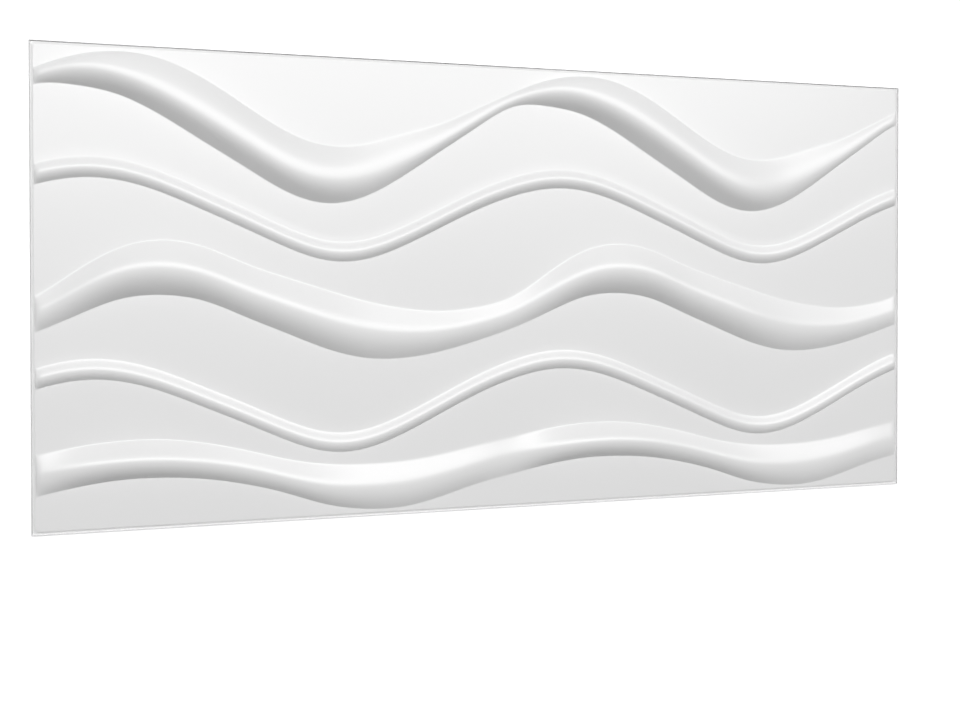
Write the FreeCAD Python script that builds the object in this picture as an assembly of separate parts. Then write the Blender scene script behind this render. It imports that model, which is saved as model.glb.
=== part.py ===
import FreeCAD, Part
import math
import os

# A moulded wall panel: one rigid plastic sheet with five waved ridges along its length. Round its
# flat field a step goes down to a narrow rim, and the rim's outer edge stands up as a low lip.
# It lies face up. The origin is the centre of its back, +X runs along its length, +Y across it.

# Driving sizes, in millimetres
panel_length = 960.0
panel_width = 480.0
sheet_thickness = 1.0
lip_height = 1.6
lip_width = 0.5
lip_run = 0.15
lip_corner_radius = 0.7
rim_width = 1.8
rim_corner_radius = 2.5
step_height = 1.0
step_run = 1.8
field_corner_radius = 6.0
wave_period = 480.0
wide_ridge_height = 17.0
narrow_ridge_height = 5.2
narrow_ridge_front = 10.0
narrow_ridge_back = 11.5
ridge_end_gap = 0.6
ridge_end_length = 8.0

# Slopes that the sheet's inner face is set in by, in degrees
front_slope = 45.0
back_slope = 32.0
end_slope = 78.0

# Power of the distance to the crest by which a ridge's front rounds to it
front_power = 2.3

# Steps of the ridges' surfaces: along the waves, across a front and a back, round a rolled end,
# and the closer ones next to it
steps_per_wave = 24
front_steps = (0.0, 0.15, 0.3, 0.45, 0.6, 0.75, 0.9)
back_steps = (0.0, 0.12, 0.24, 0.36, 0.52, 0.68, 0.84, 1.0)
roll_angles = (30.0, 42.0, 54.0, 66.0, 78.0, 90.0)
closing_shares = (0.2, 0.5)

# The wide ridges' foot lines, one point each twelfth of a wave from the panel's left end.
# Feet are in hundredths of the flat field's width, heights in hundredths of the full ridge height.
# A soft share of 100 runs the back out into the field in an S instead of to a crease.
# The front is straight over its straight share, in hundredths, then rounds to the crest.
# The crest lies at its share, in hundredths, of the way between the feet. The back rounds off it
# over the round share, then runs straight down.
top_ridge = {
    "front_foot_share": (91.5, 92.0, 90.4, 86.4, 81.2, 76.0, 71.0, 68.6, 70.2, 74.9, 80.7, 86.5),
    "back_foot_share": (94.7, 98.0, 99.3, 98.2, 94.5, 89.2, 84.0, 81.2, 81.7, 84.2, 86.8, 90.6),
    "height_share": (18, 55, 79, 92, 97, 96, 97, 86, 54, 37, 28, 20),
    "soft_share": (0, 0, 0, 0, 0, 0, 0, 10, 30, 30, 20, 0),
    "straight_share": (0, 5, 18, 32, 38, 38, 36, 22, 10, 5, 0, 0),
    "crest_share": (50, 57, 49, 44, 43, 43, 43, 42, 40, 37, 37, 43),
    "round_share": 0.8,
}
middle_ridge = {
    "front_foot_share": (40.7, 44.3, 47.7, 48.6, 47.3, 43.8, 40.2, 36.7, 34.5, 34.3, 35.6, 37.9),
    "back_foot_share": (47.9, 53.4, 58.3, 60.1, 58.7, 55.2, 52.2, 49.5, 47.0, 45.3, 44.6, 45.4),
    "height_share": (29, 51, 78, 87, 87, 80, 80, 80, 66, 55, 45, 34),
    "soft_share": (0, 0, 0, 0, 0, 0, 0, 0, 0, 0, 0, 0),
    "straight_share": (0, 0, 0, 0, 0, 0, 0, 0, 0, 0, 0, 0),
    "crest_share": (51, 51, 51, 51, 51, 51, 51, 51, 51, 51, 51, 51),
    "round_share": 0.3,
}
bottom_ridge = {
    "front_foot_share": (7.1, 8.8, 9.9, 10.0, 9.3, 7.7, 5.3, 2.4, 0.9, 0.9, 2.7, 5.2),
    "back_foot_share": (15.5, 17.1, 18.0, 18.0, 16.9, 15.0, 12.7, 11.2, 10.8, 11.1, 12.2, 13.9),
    "height_share": (26, 60, 80, 78, 66, 54, 55, 58, 50, 43, 38, 30),
    "soft_share": (0, 0, 0, 0, 0, 0, 0, 0, 0, 0, 0, 0),
    "straight_share": (0, 0, 0, 0, 0, 0, 0, 0, 0, 0, 0, 0),
    "crest_share": (51, 51, 51, 51, 51, 51, 51, 51, 51, 51, 51, 51),
    "round_share": 0.3,
}

# The narrow ridges' front foot line, in the same measure, about a straight line along the panel,
# and where those two lines lie across the field.
narrow_ridges = {
    "front_foot_share": (6.7, 8.6, 8.3, 5.9, 2.3, -1.5, -5.4, -8.2, -8.0, -5.0, -0.8, 3.4),
    "line_share": (64.3, 22.3),
}

# Levels and lines that follow
left_end = -panel_length / 2
lower_edge = -panel_width / 2
rim_top = sheet_thickness
lip_top = sheet_thickness + lip_height
field_top = sheet_thickness + step_height
field_inset = rim_width + step_run
field_width = panel_width - 2 * field_inset


def slope_inset(slope):
    """How far a bend's inner line is set in from its outer line."""
    return sheet_thickness * math.tan(math.radians(slope) / 2)


def wave_line(values):
    """A smooth line through values that repeat with the waves, as a function of the place."""
    step = wave_period / len(values)
    first = -len(values)
    last = math.ceil(panel_length / step) + len(values)
    places = [index * step for index in range(first, last + 1)]
    points = [FreeCAD.Vector(place, values[index % len(values)], 0)
              for index, place in zip(range(first, last + 1), places)]
    curve = Part.BSplineCurve()
    curve.interpolate(Points=points, Parameters=places)
    return lambda place: curve.value(place).y


def across(share):
    """A place across the panel from a share, in hundredths, of the field's width."""
    return lower_edge + field_inset + field_width * share / 100


def wide_lines(ridge):
    """A wide ridge's lines, height and shape shares, each as a function of the place."""
    front_line = wave_line(ridge["front_foot_share"])
    back_line = wave_line(ridge["back_foot_share"])
    height_line = wave_line(ridge["height_share"])
    soft_line = wave_line(ridge["soft_share"])
    straight_line = wave_line(ridge["straight_share"])
    crest_line = wave_line(ridge["crest_share"])

    def crest(place):
        width = back_line(place) - front_line(place)
        return across(front_line(place) + width * crest_line(place) / 100)

    return {
        "front": lambda place: across(front_line(place)),
        "back": lambda place: across(back_line(place)),
        "crest": crest,
        "height": lambda place: wide_ridge_height * height_line(place) / 100,
        "soft": lambda place: soft_line(place) / 100,
        "straight": lambda place: max(0.0, straight_line(place) / 100),
        "round": ridge["round_share"],
    }


def narrow_lines(line):
    """The same for a narrow ridge about the line at the given share, whose back is all S."""
    foot_line = wave_line(narrow_ridges["front_foot_share"])

    def front(place):
        return across(line + foot_line(place))

    return {
        "front": front,
        "crest": lambda place: front(place) + narrow_ridge_front,
        "back": lambda place: front(place) + narrow_ridge_front + narrow_ridge_back,
        "height": lambda place: narrow_ridge_height,
        "soft": lambda place: 1.0,
        "straight": lambda place: 0.0,
        "round": 1.0,
    }


def front_shape(share, straight):
    """Height share of a ridge's front, from 0 at the foot to 1 at the crest."""
    curved = (1 - straight) / front_power
    slope = 1 / (straight + curved)
    if share < straight:
        return slope * share
    left = (1 - share) / (1 - straight)
    return 1 - slope * curved * left ** front_power


def back_shape(share, rounded, soft):
    """Height share of a ridge's back, from 1 at the crest to 0 at the foot."""
    slope = 1 / (1 - rounded / 2)
    if share < rounded:
        straight = 1 - slope * share ** 2 / (2 * rounded)
    else:
        straight = slope * (1 - share)
    waved = (1 + math.cos(math.pi * share)) / 2
    return (1 - soft) * straight + soft * waved


def ridge_places(inset):
    """Places of a ridge's sections, each with the height share that its rolled ends leave."""
    first = field_inset + ridge_end_gap + inset
    last = panel_length - first
    rolled = [(ridge_end_length * (1 - math.cos(math.radians(angle))), math.sin(math.radians(angle)))
              for angle in roll_angles]
    step = wave_period / steps_per_wave
    count = round((last - first - 2 * ridge_end_length) / step)
    even = (last - first - 2 * ridge_end_length) / count
    closing = [(ridge_end_length + even * share, 1.0) for share in closing_shares]
    end = rolled + closing
    places = [(first + run, share) for run, share in end]
    places += [(first + ridge_end_length + index * even, 1.0) for index in range(1, count)]
    places += [(last - run, share) for run, share in reversed(end)]
    return places


def ridge_section(lines, place, roll, inset, level):
    """Points across a ridge from its front foot over the crest to its back foot."""
    front = lines["front"](place) + slope_inset(front_slope) * inset
    back = lines["back"](place) - slope_inset(back_slope) * inset
    crest = lines["crest"](place)
    height = lines["height"](place) * roll
    straight = lines["straight"](place)
    soft = lines["soft"](place)
    points = []
    for share in front_steps:
        rise = height * front_shape(share, straight)
        points.append(FreeCAD.Vector(left_end + place, front + share * (crest - front), level + rise))
    for share in back_steps:
        rise = height * back_shape(share, lines["round"], soft)
        points.append(FreeCAD.Vector(left_end + place, crest + share * (back - crest), level + rise))
    return points


def ridge_skin(lines, inset, level):
    """One skin of a ridge with its rolled ends, and the outline that it leaves in the field."""
    places = ridge_places(slope_inset(end_slope) * inset)
    grid = [ridge_section(lines, place, roll, inset, level) for place, roll in places]
    surface = Part.BSplineSurface()
    surface.interpolate(grid)
    for column in (1, surface.NbVPoles):
        for row in range(1, surface.NbUPoles + 1):
            pole = surface.getPole(row, column)
            pole.z = level
            surface.setPole(row, column, pole)
    first_u, last_u, first_v, last_v = surface.bounds()
    faces = [surface.toShape()]
    outline = [surface.vIso(first_v).toShape(), surface.vIso(last_v).toShape()]
    run = ridge_end_length * (1 - math.cos(math.radians(roll_angles[0])))
    for section, u, shift in ((grid[0], first_u, -run), (grid[-1], last_u, run)):
        front_end = section[0] + FreeCAD.Vector(shift, 0, 0)
        back_end = section[-1] + FreeCAD.Vector(shift, 0, 0)
        foot = Part.LineSegment(front_end, back_end).toShape()
        faces.append(Part.makeRuledSurface(foot, surface.uIso(u).toShape()))
        outline.append(foot)
        outline.append(Part.LineSegment(front_end, section[0]).toShape())
        outline.append(Part.LineSegment(back_end, section[-1]).toShape())
    return faces, Part.Wire(Part.__sortEdges__(outline))


def rounded_outline(inset, radius, level):
    """A rounded rectangle set in from the panel's edges."""
    x = panel_length / 2 - inset
    y = panel_width / 2 - inset
    diagonal = radius * (1 - math.sqrt(0.5))
    edges = []
    for turn_x, turn_y in ((1, 1), (-1, 1), (-1, -1), (1, -1)):
        ends = (FreeCAD.Vector(turn_x * x, turn_y * (y - radius), level),
                FreeCAD.Vector(turn_x * (x - radius), turn_y * y, level))
        middle = FreeCAD.Vector(turn_x * (x - diagonal), turn_y * (y - diagonal), level)
        start, end = ends if turn_x * turn_y > 0 else reversed(ends)
        if edges:
            edges.append(Part.LineSegment(edges[-1].Vertexes[-1].Point, start).toShape())
        edges.append(Part.Arc(start, middle, end).toShape())
    edges.append(Part.LineSegment(edges[-1].Vertexes[-1].Point, edges[0].Vertexes[0].Point).toShape())
    return Part.Wire(edges)


def panel_outline(level):
    """The panel's square-cornered outline."""
    return Part.makePolygon([FreeCAD.Vector(x * panel_length / 2, y * panel_width / 2, level)
                             for x, y in ((1, 1), (-1, 1), (-1, -1), (1, -1), (1, 1))])


def lip_skin(rim):
    """The top and the inner wall of the lip inside its outline, and the outline of the wall's foot."""
    edge = rounded_outline(lip_width, lip_corner_radius, lip_top)
    foot = rounded_outline(lip_width + lip_run, lip_corner_radius - lip_run, rim_top)
    top = Part.makeFace([rim, edge], "Part::FaceMakerBullseye")
    return [top] + Part.makeRuledSurface(edge, foot).Faces, foot


def field_skin(outer, inset, drop):
    """The rim inside an outline, the step, the flat field and the ridges of one skin."""
    step_slope = math.degrees(math.atan2(step_height, step_run))
    step_inset = slope_inset(step_slope) * inset
    step_foot = rounded_outline(
        rim_width + step_inset, rim_corner_radius - step_inset, rim_top - drop)
    step_edge = rounded_outline(
        field_inset + step_inset, field_corner_radius - step_inset, field_top - drop)
    faces = [Part.makeFace([outer, step_foot], "Part::FaceMakerBullseye")]
    faces += Part.makeRuledSurface(step_foot, step_edge).Faces
    outlines = [step_edge]
    rows = [wide_lines(ridge) for ridge in (top_ridge, middle_ridge, bottom_ridge)]
    rows += [narrow_lines(line) for line in narrow_ridges["line_share"]]
    for lines in rows:
        ridge_faces, outline = ridge_skin(lines, inset, field_top - drop)
        faces += ridge_faces
        outlines.append(outline)
    faces.append(Part.makeFace(outlines, "Part::FaceMakerBullseye"))
    return faces


def wave_panel():
    """The whole sheet as one closed solid between its two skins."""
    front_rim = panel_outline(lip_top)
    back_rim = panel_outline(0)
    lip_faces, lip_foot = lip_skin(front_rim)
    faces = lip_faces + field_skin(lip_foot, 0, 0) + field_skin(back_rim, 1, sheet_thickness)
    for upper, lower in zip(front_rim.Edges, back_rim.Edges):
        faces.append(Part.makeRuledSurface(lower, upper))
    sewn = Part.makeCompound(faces)
    sewn.sewShape()
    solid = Part.makeSolid(sewn.Shells[0])
    if solid.Volume < 0:
        solid.reverse()
    return solid


panel = wave_panel()
print("faces", len(panel.Faces), "closed", panel.isClosed(), "valid", panel.isValid())
print("volume in cubic centimetres", round(panel.Volume / 1000, 1))
print("box", panel.BoundBox)
os.makedirs("parts", exist_ok=True)
panel.exportStep("parts/wave_panel.step")
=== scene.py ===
"""Model, finish and studio stage of a moulded wave wall panel: one white plastic sheet with five waved
ridges along its length, a flat field and a narrow rim with a low lip."""

import math

import bpy
import numpy as np
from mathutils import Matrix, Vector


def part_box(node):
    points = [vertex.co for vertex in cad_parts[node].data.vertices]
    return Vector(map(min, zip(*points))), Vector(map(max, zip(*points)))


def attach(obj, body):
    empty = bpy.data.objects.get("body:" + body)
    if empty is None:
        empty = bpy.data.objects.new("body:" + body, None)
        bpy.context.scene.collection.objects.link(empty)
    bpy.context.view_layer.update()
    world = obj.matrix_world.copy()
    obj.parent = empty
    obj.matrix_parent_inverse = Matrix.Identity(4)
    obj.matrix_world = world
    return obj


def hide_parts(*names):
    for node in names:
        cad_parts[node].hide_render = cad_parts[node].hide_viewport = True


bl_info = {
    "name": "Moulded wave wall panel",
    "version": (1, 0, 0),
    "blender": (4, 5, 0),
    "location": "3D View > Sidebar > Wall panel",
    "description": "Models a moulded wave wall panel with its finish, and a plain studio stage for it",
    "category": "Object",
}

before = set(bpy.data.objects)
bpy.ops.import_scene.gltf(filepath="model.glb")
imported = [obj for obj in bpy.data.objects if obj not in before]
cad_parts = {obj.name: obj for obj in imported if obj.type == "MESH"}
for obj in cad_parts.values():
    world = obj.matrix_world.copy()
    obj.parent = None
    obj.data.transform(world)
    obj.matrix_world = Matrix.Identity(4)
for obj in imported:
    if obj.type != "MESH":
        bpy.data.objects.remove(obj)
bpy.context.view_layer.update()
sheet_low, sheet_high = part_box("wave_panel")

MM = 0.001

# The wide ridges, one value each twelfth of a wave from the panel's left end, in hundredths: the feet
# of the flat field's width, the heights of the full ridge height. The crest lies at its share of the
# way between the feet. The front is straight over its straight share, then rounds to the crest. The
# back rounds off it over the round share, a plain share for the whole ridge, then runs straight down.
# A soft share of 100 runs the back out into the field in an S instead of to a crease.
NO_SHARE = 12 * (0,)
MIDWAY = 12 * (51,)
TOP_RIDGE = {
    "front_foot": (91.5, 92.0, 90.4, 86.4, 81.2, 76.0, 71.0, 68.6, 70.2, 74.9, 80.7, 86.5),
    "back_foot": (94.7, 98.0, 99.3, 98.2, 94.5, 89.2, 84.0, 81.2, 81.7, 84.2, 86.8, 90.6),
    "height": (18, 55, 79, 92, 97, 96, 97, 86, 54, 37, 28, 20),
    "soft": (0, 0, 0, 0, 0, 0, 0, 10, 30, 30, 20, 0),
    "straight": (0, 5, 18, 32, 38, 38, 36, 22, 10, 5, 0, 0),
    "crest": (50, 57, 49, 44, 43, 43, 43, 42, 40, 37, 37, 43),
    "round": 0.8,
}
MIDDLE_RIDGE = {
    "front_foot": (40.7, 44.3, 47.7, 48.6, 47.3, 43.8, 40.2, 36.7, 34.5, 34.3, 35.6, 37.9),
    "back_foot": (47.9, 53.4, 58.3, 60.1, 58.7, 55.2, 52.2, 49.5, 47.0, 45.3, 44.6, 45.4),
    "height": (29, 51, 78, 87, 87, 80, 80, 80, 66, 55, 45, 34),
    "soft": NO_SHARE,
    "straight": NO_SHARE,
    "crest": MIDWAY,
    "round": 0.3,
}
BOTTOM_RIDGE = {
    "front_foot": (7.1, 8.8, 9.9, 10.0, 9.3, 7.7, 5.3, 2.4, 0.9, 0.9, 2.7, 5.2),
    "back_foot": (15.5, 17.1, 18.0, 18.0, 16.9, 15.0, 12.7, 11.2, 10.8, 11.1, 12.2, 13.9),
    "height": (26, 60, 80, 78, 66, 54, 55, 58, 50, 43, 38, 30),
    "soft": NO_SHARE,
    "straight": NO_SHARE,
    "crest": MIDWAY,
    "round": 0.3,
}

# The narrow ridges' front foot, in hundredths of the field's width to the back of a straight line
# along the panel, and each ridge's line in hundredths from the field's front edge
NARROW_FOOT = (6.7, 8.6, 8.3, 5.9, 2.3, -1.5, -5.4, -8.2, -8.0, -5.0, -0.8, 3.4)
LOWER_NARROW_LINE = 22.3
UPPER_NARROW_LINE = 64.3

# Power of the distance left to the crest by which a ridge's front rounds to it
FRONT_POWER = 2.3

# Slopes by which the inner skin's bends are set in
FRONT_SLOPE = math.radians(45)
BACK_SLOPE = math.radians(32)
END_SLOPE = math.radians(78)
STEP_SLOPE = math.radians(28)

# Grid lines of the sheet: over the lip's edge and the step, beside a foot line, across the flats,
# up a front, down a back, round a ridge's rolled end, and along the waves
EDGE_LINES = (0.0, 0.3, 1.0)
STEP_LINES = (0.0, 0.14, 0.3, 0.5, 0.7, 0.86, 1.0)
FOOT_LINES = (0.4 * MM, 0.9 * MM, 1.8 * MM)
FIELD_LINES = (0.05, 0.15, 0.35, 0.6, 0.85)
FRONT_LINES = (0.16, 0.32, 0.48, 0.62, 0.75, 0.88)
BACK_LINES = (0.12, 0.25, 0.4, 0.58, 0.78)
END_ANGLES = (0, 9, 18, 27, 37, 48, 60, 75, 90)
COLUMN_SPACING = 4.6 * MM

# Largest share of a narrow gap that the lines beside one foot take up
FOOT_LINES_LIMIT = 0.3

# Radius too small to see, which stands in for none where it divides
TINY = 1e-9

# Bends sharper than this keep a hard edge in the shading
SHARP_BEND = math.radians(50)

# Rigid PVC's index of refraction. The gloss is twice the usual strength, and the roughness of its
# tighter part is that of a satin lacquer.
PVC_IOR = 1.53
GLOSS_LEVEL = 1.0
TIGHT_GLOSS_ROUGHNESS = 0.32

# Height of the dimples and the grain, and how much of the grain's height the shading shows
UNEVEN_HEIGHT = 0.1 * MM
GRAIN_STRENGTH = 0.05

# Roughness of matt paint
PAINT_ROUGHNESS = 0.9

# Turns of the camera from looking straight down, in degrees
CAMERA_TURN = (-0.4658, -11.2715, -0.0622)


def length(name, description, default, **extra):
    """A size property in metres."""
    return bpy.props.FloatProperty(name=name, description=description, default=default, min=0.0,
                                   precision=4, subtype="DISTANCE", unit="LENGTH", **extra)


def linear_colour(code):
    """Linear RGB of an sRGB hex colour."""
    parts = [int(code[place:place + 2], 16) / 255 for place in (1, 3, 5)]
    return tuple(v / 12.92 if v <= 0.04045 else ((v + 0.055) / 1.055) ** 2.4 for v in parts)


class PanelSheetSettings(bpy.types.PropertyGroup):
    """Sizes of the moulded sheet."""

    panel_length: length("Length", "Length of the sheet, along its waves",
                         sheet_high.x - sheet_low.x)
    panel_width: length("Width", "Width of the sheet, across its waves",
                        sheet_high.y - sheet_low.y)
    thickness: length("Thickness", "Thickness of the plastic sheet", 1 * MM)
    edge_round: length("Edge rounding", "Rounding along the outer top edge of the lip", 0.25 * MM)
    lip_height: length("Lip height", "Rise from the rim to the top of its lip", 1.6 * MM)
    lip_width: length("Lip width", "Width of the top of the lip", 0.5 * MM)
    lip_run: length("Lip draft", "Run of the lip's inner wall", 0.15 * MM)
    rim_width: length("Rim width", "From the sheet's edge to the foot of the step", 1.3 * MM)
    step_height: length("Step height", "Rise from the rim to the field", 1 * MM)
    step_run: length("Step run", "Width of the rounded step up to the field", 2.8 * MM)
    corner_radius: length("Corner radius", "Radius of the field's corners", 6 * MM)
    wave_period: length("Wave length", "Distance in which the waves repeat", 480 * MM)
    wide_height: length("Wide ridge height", "Full height of the wide ridges over the field",
                        16.99 * MM)
    narrow_height: length("Narrow ridge height", "Height of the narrow ridges", 5.2 * MM)
    narrow_front: length("Narrow ridge front", "Width of a narrow ridge's front", 10 * MM)
    narrow_back: length("Narrow ridge back", "Width of a narrow ridge's back", 11.5 * MM)
    field_inset: length("Field inset", "From the sheet's edge to the field's edge", 3.6 * MM)
    end_gap: length("End gap", "From the field's edge to the ridges' ends", 0.6 * MM)
    end_length: length("End length", "Length over which a ridge's end rolls down", 8 * MM)
    fillet: length("Fillet", "Height over which a ridge's foot is filleted", 0.6 * MM)


class PanelFinishSettings(bpy.types.PropertyGroup):
    """Colour and gloss of the plastic."""

    colour: bpy.props.FloatVectorProperty(
        name="Colour", description="Colour of the plastic", default=linear_colour("#E3E3E3"),
        size=3, min=0.0, max=1.0, subtype="COLOR")
    roughness: bpy.props.FloatProperty(
        name="Roughness", description="0 is a mirror and 1 is chalk", default=0.6,
        min=0.0, max=1.0, subtype="FACTOR")
    grain: length("Grain", "Width of one grain of the moulded surface", 1.4 * MM)
    dimple: length("Dimple", "Width of the shallow dimples that forming leaves", 35 * MM)


class StageSettings(bpy.types.PropertyGroup):
    """Lamp, floor and camera of the studio."""

    lamp_length: length("Lamp length", "Length of the soft lamp, along the panel", 10.0)
    lamp_depth: length("Lamp depth", "Depth of the soft lamp, across the panel", 3.2)
    lamp_power: bpy.props.FloatProperty(
        name="Lamp power", description="Power of the soft lamp", default=430.0, min=0.0,
        subtype="POWER", unit="POWER")
    lamp_place: bpy.props.FloatVectorProperty(
        name="Lamp place", description="Centre of the soft lamp", default=(-0.1, 2.4, 5.0),
        size=3, subtype="XYZ", unit="LENGTH")
    room_light: bpy.props.FloatProperty(
        name="Room light", description="Strength of the light from all round", default=0.02,
        min=0.0)
    floor_side: length("Floor side", "Side of the square floor", 3.0)
    floor_colour: bpy.props.FloatVectorProperty(
        name="Floor colour", description="Colour of the floor", default=linear_colour("#F4F4F4"),
        size=3, min=0.0, max=1.0, subtype="COLOR")
    floor_glow: bpy.props.FloatProperty(
        name="Floor glow", description="Light that only the camera sees the floor give off",
        default=0.42, min=0.0)
    camera_place: bpy.props.FloatVectorProperty(
        name="Camera place", description="Place of the camera", default=(-0.1966, 0.0055, 0.8035),
        size=3, subtype="XYZ", unit="LENGTH")
    camera_turn: bpy.props.FloatVectorProperty(
        name="Camera turn", description="Turns of the camera from looking straight down",
        default=[math.radians(angle) for angle in CAMERA_TURN], size=3, subtype="EULER",
        unit="ROTATION")
    camera_lens: bpy.props.FloatProperty(
        name="Lens", description="Focal length in millimetres", default=28.379, min=1.0,
        subtype="DISTANCE_CAMERA", unit="CAMERA")
    camera_shift: bpy.props.FloatProperty(
        name="Shift", description="Upward shift of the view, in sensor widths", default=-0.0765)


def wave_line(values, place, wave):
    """A smooth line through values that stand one even step apart and repeat with the waves. On each
    step it is the cubic whose bend at both ends is its neighbour's, and one ring of equations, bend
    before plus four bends plus bend after equals the second difference, gives all the bends."""
    values = np.asarray(values, float)
    ring = np.eye(len(values))
    ring = 4 * ring + np.roll(ring, 1, 0) + np.roll(ring, -1, 0)
    bend = np.linalg.solve(ring, np.roll(values, 1) - 2 * values + np.roll(values, -1))
    count = place * len(values) / wave
    index = np.floor(count).astype(int)
    share = count - index
    rest = 1 - share
    here = index % len(values)
    there = (index + 1) % len(values)
    return (rest * values[here] + share * values[there]
            + (rest ** 3 - rest) * bend[here] + (share ** 3 - share) * bend[there])


def inner_offset(size, slope, inset):
    """How far a bend's inner line is set in from its outer line: thickness times tan(slope / 2)."""
    return inset * size.thickness * math.tan(slope / 2)


def field_place(size, share):
    """Place across the panel of a share, in hundredths, of the flat field's width."""
    field_width = size.panel_width - 2 * size.field_inset
    return size.field_inset - size.panel_width / 2 + field_width * share / 100


def wide_ridge(size, table, place, inset):
    """A wide ridge's front foot, crest, back foot, height, and straight, round and soft shares at each
    place along the panel. Between two values of the table a smooth line may dip just below zero."""
    def line(name):
        return wave_line(table[name], place, size.wave_period)

    front = field_place(size, line("front_foot"))
    back = field_place(size, line("back_foot"))
    crest = front + (back - front) * line("crest") / 100
    height = size.wide_height * line("height") / 100
    straight = np.maximum(line("straight") / 100, 0)
    soft = line("soft") / 100
    front = front + inner_offset(size, FRONT_SLOPE, inset)
    back = back - inner_offset(size, BACK_SLOPE, inset)
    return front, crest, back, height, straight, table["round"], soft


def narrow_ridge(size, line, place, inset):
    """The same for a narrow ridge, whose front and back keep their widths beside one foot line."""
    front = field_place(size, line + wave_line(NARROW_FOOT, place, size.wave_period))
    crest = front + size.narrow_front
    back = crest + size.narrow_back
    height = np.full_like(front, size.narrow_height)
    front = front + inner_offset(size, FRONT_SLOPE, inset)
    back = back - inner_offset(size, BACK_SLOPE, inset)
    return front, crest, back, height, np.zeros_like(front), 1.0, 1.0


def front_shape(share, straight):
    """Height share of a ridge's front: a straight rise, then one less a power of the distance left
    to the crest, where it is level. Outside the foot the straight rise goes on below zero."""
    curved = (1 - straight) / FRONT_POWER
    slope = 1 / (straight + curved)
    left = np.clip((1 - share) / (1 - straight), 0, 1)
    return np.where(share < straight, slope * share, 1 - slope * curved * left ** FRONT_POWER)


def back_shape(share, rounded, soft):
    """Height share of a ridge's back: a parabola off the crest, then straight down to the foot and
    on below zero. The soft share blends it with half a cosine wave that dips slowly past the foot."""
    slope = 1 / (1 - rounded / 2)
    straight = np.where(share < rounded, 1 - slope * share ** 2 / (2 * rounded), slope * (1 - share))
    waved = np.where(share < 1, (1 + np.cos(np.pi * np.minimum(share, 1))) / 2, -(share - 1) ** 2)
    return (1 - soft) * straight + soft * waved


def ridge_rise(size, ridge, place, y, inset):
    """Height that a ridge adds at each grid point: its section times the quarter ellipse of its
    rolled ends. A quadratic fillet joins it to the field: where the height passes from -e to +e it
    is (height + e) squared over 4e, below that nothing, above that the height itself."""
    front, crest, back, height, straight, rounded, soft = ridge
    section = np.where(y < crest, front_shape((y - front) / (crest - front), straight),
                       back_shape((y - crest) / (back - crest), rounded, soft))
    first = size.field_inset + size.end_gap + inner_offset(size, END_SLOPE, inset)
    inside = np.minimum(place, size.panel_length - place) - first
    share = np.clip(inside / size.end_length, 0, 1)
    rise = height * np.where(section > 0, section * np.sqrt(1 - (1 - share) ** 2), section)
    rise = np.where(inside < 0, np.minimum(rise, math.tan(END_SLOPE) * inside), rise)
    blend = (np.clip(rise, -size.fillet, size.fillet) + size.fillet) ** 2 / (4 * size.fillet)
    return np.where(rise < size.fillet, blend, rise)


def stretch(start, stop, near, inner, far):
    """Grid lines from start up to, but not on, stop: the near distances after start, then shares of
    what is left, then the far distances before stop. In a narrow gap near and far draw together."""
    gap = stop - start
    lines = [start]
    low = start
    high = stop
    if near:
        fit = np.minimum(1, FOOT_LINES_LIMIT * gap / near[-1])
        lines += [start + fit * distance for distance in near]
        low = lines[-1]
    if far:
        fit = np.minimum(1, FOOT_LINES_LIMIT * gap / far[-1])
        high = stop - fit * far[-1]
    lines += [low + share * (high - low) for share in inner]
    if far:
        lines += [stop - fit * distance for distance in reversed(far)]
    return lines


def rim_lines(size):
    """Distances from the sheet's edge of the grid lines over its lip, rim and step."""
    lines = [size.edge_round * share for share in EDGE_LINES]
    lines += [size.lip_width, size.lip_width + size.lip_run]
    lines += [size.rim_width + size.step_run * share for share in STEP_LINES]
    return lines


def column_places(size, inset):
    """Places of the grid's columns along the panel, measured from its left end."""
    first = size.field_inset + size.end_gap + inner_offset(size, END_SLOPE, inset)
    angles = np.radians(END_ANGLES)
    end = np.concatenate([rim_lines(size), first + size.end_length * (1 - np.cos(angles))])
    count = math.ceil((size.panel_length - 2 * end[-1]) / COLUMN_SPACING)
    middle = np.linspace(end[-1], size.panel_length - end[-1], count + 1)[1:-1]
    return np.concatenate([end, middle, size.panel_length - end[::-1]])


def row_lines(size, ridges, columns):
    """The grid's rows, each one place across the panel for each column. They run along the rim, and
    between the rims they follow the foot and crest lines of the ridges."""
    flat = np.zeros(columns)
    half = size.panel_width / 2
    rim = rim_lines(size)
    rows = [flat - half + distance for distance in rim]
    edge = rows.pop()
    for front, crest, back, *_ in ridges:
        rows += stretch(edge, front, FOOT_LINES, FIELD_LINES, FOOT_LINES)
        rows += stretch(front, crest, FOOT_LINES, FRONT_LINES, ())
        rows += stretch(crest, back, (), BACK_LINES, FOOT_LINES)
        edge = back
    rows += stretch(edge, flat + half - rim[-1], FOOT_LINES, FIELD_LINES, FOOT_LINES)
    rows += [flat + half - distance for distance in reversed(rim)]
    return np.array(rows)


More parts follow.
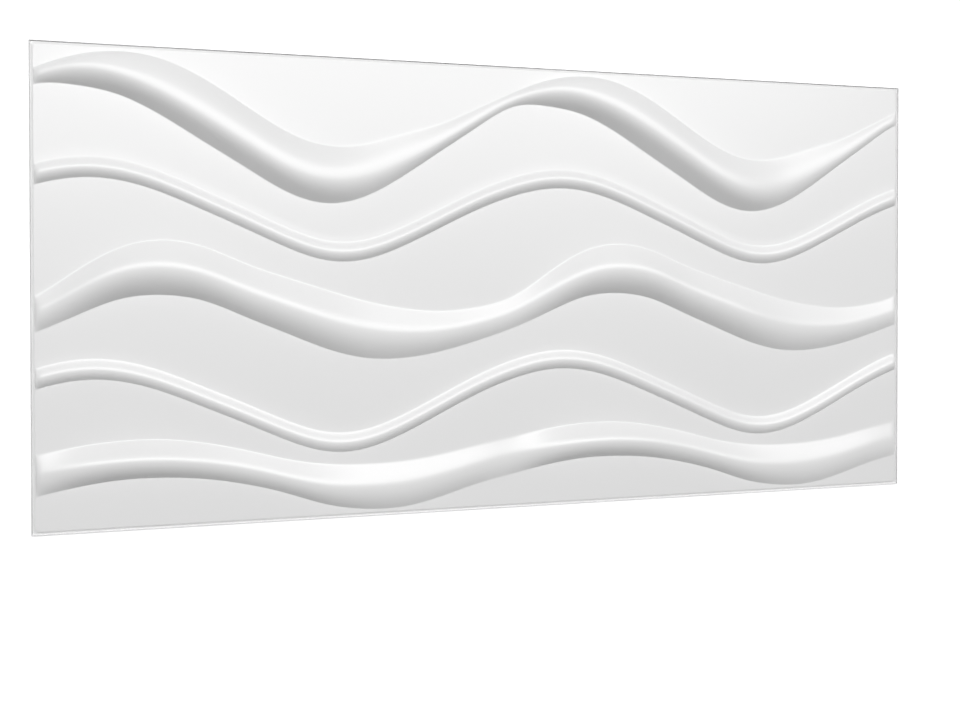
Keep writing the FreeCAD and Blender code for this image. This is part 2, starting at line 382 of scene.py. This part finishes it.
def round_corners(size, x, y):
    """Bends the grid lines round the field's corners. In a square ring at one distance inward, the
    last radius of each side before the corner becomes half of a quarter circle. The radius grows from
    nothing at the sheet's edge to its full size at the field's, and fades again in the field."""
    beside_x = size.panel_length / 2 - np.abs(x)
    beside_y = size.panel_width / 2 - np.abs(y)
    inward = np.minimum(beside_x, beside_y)
    along = np.abs(beside_x - beside_y)
    edge = size.rim_width + size.step_run
    radius = size.corner_radius * np.interp(inward, (0, edge, edge + 2 * size.corner_radius), (0, 1, 0))
    turn = np.pi / 4 * np.clip(1 - along / np.maximum(radius, TINY), 0, 1)
    near = inward + radius * (1 - np.cos(turn))
    far = np.where(turn > 0, inward + radius * (1 - np.sin(turn)), inward + along)
    beside_x, beside_y = (np.where(beside_x < beside_y, near, far),
                          np.where(beside_x < beside_y, far, near))
    return (np.sign(x) * (size.panel_length / 2 - beside_x),
            np.sign(y) * (size.panel_width / 2 - beside_y))


def rim_level(size, x, y, inset):
    """Height of the sheet without its ridges: the lip with its rounded edge and straight inner wall,
    the rim, and a smooth S, three squares less two cubes, up the step to the field. The inner skin
    has no lip."""
    inward = np.minimum(size.panel_length / 2 - np.abs(x), size.panel_width / 2 - np.abs(y))
    foot = size.rim_width + inner_offset(size, STEP_SLOPE, inset)
    share = np.clip((inward - foot) / size.step_run, 0, 1)
    level = size.thickness + size.step_height * share ** 2 * (3 - 2 * share)
    if not inset:
        level = level + size.lip_height * np.clip(1 - (inward - size.lip_width) / size.lip_run, 0, 1)
        left = np.clip(size.edge_round - inward, 0, None)
        level = level - size.edge_round + np.sqrt(size.edge_round ** 2 - left ** 2)
    return level


def sheet_skin(size, inset):
    """One skin of the sheet as a grid of points: the outer one with an inset of 0, and with an inset
    of 1 the inner one, whose bends are set in and which lies one thickness lower."""
    place = column_places(size, inset)
    ridges = [wide_ridge(size, BOTTOM_RIDGE, place, inset),
              narrow_ridge(size, LOWER_NARROW_LINE, place, inset),
              wide_ridge(size, MIDDLE_RIDGE, place, inset),
              narrow_ridge(size, UPPER_NARROW_LINE, place, inset),
              wide_ridge(size, TOP_RIDGE, place, inset)]
    y = row_lines(size, ridges, len(place))
    x = np.broadcast_to(place - size.panel_length / 2, y.shape)
    z = rim_level(size, x, y, inset) - inset * size.thickness
    for ridge in ridges:
        z = z + ridge_rise(size, ridge, place, y, inset)
    x, y = round_corners(size, x, y)
    return np.stack([x, y, z], axis=-1)


def sheet_faces(rows, columns):
    """Faces of the closed sheet: the outer skin's cells, the inner skin's cells turned over, and a
    strip between the two skins' outlines."""
    index = np.arange(rows * columns).reshape(rows, columns)
    cells = np.stack([index[:-1, :-1], index[:-1, 1:], index[1:, 1:], index[1:, :-1]], axis=-1)
    cells = cells.reshape(-1, 4)
    outline = np.concatenate([index[0, :-1], index[:-1, -1], index[-1, :0:-1], index[:0:-1, 0]])
    ahead = np.roll(outline, -1)
    below = rows * columns
    strip = np.stack([outline + below, ahead + below, ahead, outline], axis=-1)
    return np.concatenate([cells, cells[:, ::-1] + below, strip])


def add_node(tree, kind, links=(), **settings):
    """A new node with its settings and input values, linked from the given sockets."""
    node = tree.nodes.new(kind)
    for name, value in settings.items():
        setattr(node, name, value)
    for name, value in links:
        if isinstance(value, bpy.types.NodeSocket):
            tree.links.new(value, node.inputs[name])
        else:
            node.inputs[name].default_value = value
    return node


def new_material(name):
    """An empty node material and its output."""
    material = bpy.data.materials.new(name)
    material.use_nodes = True
    material.node_tree.nodes.clear()
    output = material.node_tree.nodes.new("ShaderNodeOutputMaterial")
    return material, material.node_tree, output


def satin_pvc(finish):
    """Rigid PVC sheet, formed warm over a mould. The eye gets a white satin skin: soft highlights
    along the ridges from a broad and a tighter gloss, a grain too fine to make out, and very shallow
    dimples, a tenth of a millimetre deep, that keep the flat field from looking dead even."""
    material, tree, output = new_material("satin_formed_pvc")
    place = add_node(tree, "ShaderNodeTexCoord").outputs["Object"]
    dimples = add_node(tree, "ShaderNodeTexNoise",
                       [("Vector", place), ("Scale", 1 / finish.dimple), ("Detail", 1.0)])
    uneven = add_node(tree, "ShaderNodeBump",
                      [("Height", dimples.outputs["Fac"]), ("Strength", 1.0),
                       ("Distance", UNEVEN_HEIGHT)])
    grain = add_node(tree, "ShaderNodeTexNoise",
                     [("Vector", place), ("Scale", 1 / finish.grain), ("Detail", 2.0),
                      ("Roughness", 0.6)])
    bump = add_node(tree, "ShaderNodeBump",
                    [("Height", grain.outputs["Fac"]), ("Strength", GRAIN_STRENGTH),
                     ("Distance", UNEVEN_HEIGHT), ("Normal", uneven.outputs["Normal"])])
    shader = add_node(tree, "ShaderNodeBsdfPrincipled",
                      [("Base Color", (*finish.colour, 1.0)), ("Roughness", finish.roughness),
                       ("IOR", PVC_IOR), ("Specular IOR Level", GLOSS_LEVEL),
                       ("Coat Weight", 1.0), ("Coat Roughness", TIGHT_GLOSS_ROUGHNESS),
                       ("Normal", bump.outputs["Normal"])])
    tree.links.new(shader.outputs["BSDF"], output.inputs["Surface"])
    return material


class WALLPANEL_OT_moulded_sheet(bpy.types.Operator):
    """Models the moulded sheet with its ridges, rim and inner face, in its plastic"""

    bl_idname = "wall_panel.moulded_sheet"
    bl_label = "Moulded sheet"

    def execute(self, context):
        size = context.scene.wall_panel_sheet
        outer = sheet_skin(size, 0)
        inner = sheet_skin(size, 1)
        inner[[0, -1], :, :2] = outer[[0, -1], :, :2]
        inner[:, [0, -1], :2] = outer[:, [0, -1], :2]
        points = np.concatenate([outer.reshape(-1, 3), inner.reshape(-1, 3)])
        mesh = bpy.data.meshes.new("moulded_sheet")
        mesh.from_pydata(points, [], sheet_faces(*outer.shape[:2]))
        mesh.shade_smooth()
        mesh.set_sharp_from_angle(angle=SHARP_BEND)
        mesh.materials.append(satin_pvc(context.scene.wall_panel_finish))
        sheet = bpy.data.objects.new("moulded_sheet", mesh)
        context.scene.collection.objects.link(sheet)
        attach(sheet, "root")
        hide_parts("wave_panel")
        return {"FINISHED"}


def studio_floor(stage):
    """Matt pale paint, which gives the eye an even white without any gloss. The camera sees it give
    off a little light of its own, so that it looks as white as the room."""
    material, tree, output = new_material("matt_white_paint")
    camera_ray = add_node(tree, "ShaderNodeLightPath").outputs["Is Camera Ray"]
    glow = add_node(tree, "ShaderNodeMath", [(0, camera_ray), (1, stage.floor_glow)],
                    operation="MULTIPLY")
    shader = add_node(tree, "ShaderNodeBsdfPrincipled",
                      [("Base Color", (*stage.floor_colour, 1.0)), ("Roughness", PAINT_ROUGHNESS),
                       ("Specular IOR Level", 0.0), ("Emission Color", (1.0, 1.0, 1.0, 1.0)),
                       ("Emission Strength", glow.outputs[0])])
    tree.links.new(shader.outputs["BSDF"], output.inputs["Surface"])
    return material


class WALLPANEL_OT_studio_stage(bpy.types.Operator):
    """Sets up the pale floor, the soft lamp, the white room and the camera"""

    bl_idname = "wall_panel.studio_stage"
    bl_label = "Studio stage"

    def execute(self, context):
        scene = context.scene
        stage = scene.wall_panel_stage
        half = stage.floor_side / 2
        mesh = bpy.data.meshes.new("floor")
        mesh.from_pydata([(-half, -half, 0), (half, -half, 0), (half, half, 0), (-half, half, 0)],
                         [], [(0, 1, 2, 3)])
        mesh.materials.append(studio_floor(stage))
        floor = bpy.data.objects.new("floor", mesh)
        scene.collection.objects.link(floor)

        lamp = bpy.data.lights.new("soft_lamp", "AREA")
        lamp.shape = "RECTANGLE"
        lamp.size = stage.lamp_length
        lamp.size_y = stage.lamp_depth
        lamp.energy = stage.lamp_power
        lamp_object = bpy.data.objects.new("soft_lamp", lamp)
        lamp_object.location = stage.lamp_place
        lamp_object.rotation_euler = (-lamp_object.location).to_track_quat("-Z", "Y").to_euler()
        scene.collection.objects.link(lamp_object)

        world = bpy.data.worlds.new("white_room")
        world.use_nodes = True
        tree = world.node_tree
        tree.nodes.clear()
        # The room is white where the camera or a gloss looks at it, and lights the rest faintly
        path = add_node(tree, "ShaderNodeLightPath")
        seen = add_node(tree, "ShaderNodeMath", [(0, path.outputs["Is Camera Ray"]),
                                                 (1, path.outputs["Is Glossy Ray"])],
                        operation="MAXIMUM")
        strength = add_node(tree, "ShaderNodeMapRange",
                            [("Value", seen.outputs[0]), ("To Min", stage.room_light),
                             ("To Max", 1.0)])
        background = add_node(tree, "ShaderNodeBackground",
                              [("Color", (1.0, 1.0, 1.0, 1.0)),
                               ("Strength", strength.outputs["Result"])])
        add_node(tree, "ShaderNodeOutputWorld", [("Surface", background.outputs["Background"])])
        scene.world = world

        camera = bpy.data.cameras.new("camera")
        camera.lens = stage.camera_lens
        camera.shift_y = stage.camera_shift
        camera_object = bpy.data.objects.new("camera", camera)
        camera_object.location = stage.camera_place
        camera_object.rotation_euler = stage.camera_turn
        scene.collection.objects.link(camera_object)
        scene.camera = camera_object
        scene.view_settings.view_transform = "Standard"
        return {"FINISHED"}


class WALLPANEL_PT_sidebar(bpy.types.Panel):
    """Lists the panel's sizes and finish and the buttons that make it"""

    bl_idname = "WALLPANEL_PT_sidebar"
    bl_label = "Wall panel"
    bl_space_type = "VIEW_3D"
    bl_region_type = "UI"
    bl_category = "Wall panel"

    def draw(self, context):
        for settings, operator in (("wall_panel_sheet", "wall_panel.moulded_sheet"),
                                   ("wall_panel_finish", None),
                                   ("wall_panel_stage", "wall_panel.studio_stage")):
            group = getattr(context.scene, settings)
            for name in group.bl_rna.properties.keys():
                if name not in ("rna_type", "name"):
                    self.layout.prop(group, name)
            if operator:
                self.layout.operator(operator)


CLASSES = (PanelSheetSettings, PanelFinishSettings, StageSettings, WALLPANEL_OT_moulded_sheet,
           WALLPANEL_OT_studio_stage, WALLPANEL_PT_sidebar)
SETTINGS = {"wall_panel_sheet": PanelSheetSettings, "wall_panel_finish": PanelFinishSettings,
            "wall_panel_stage": StageSettings}


def register():
    for item in CLASSES:
        bpy.utils.register_class(item)
    for name, group in SETTINGS.items():
        setattr(bpy.types.Scene, name, bpy.props.PointerProperty(type=group))


def unregister():
    for name in SETTINGS:
        delattr(bpy.types.Scene, name)
    for item in reversed(CLASSES):
        bpy.utils.unregister_class(item)


def main():
    """Makes the panel and its stage."""
    register()
    bpy.ops.wall_panel.moulded_sheet()
    bpy.ops.wall_panel.studio_stage()


if __name__ == "__main__":
    main()
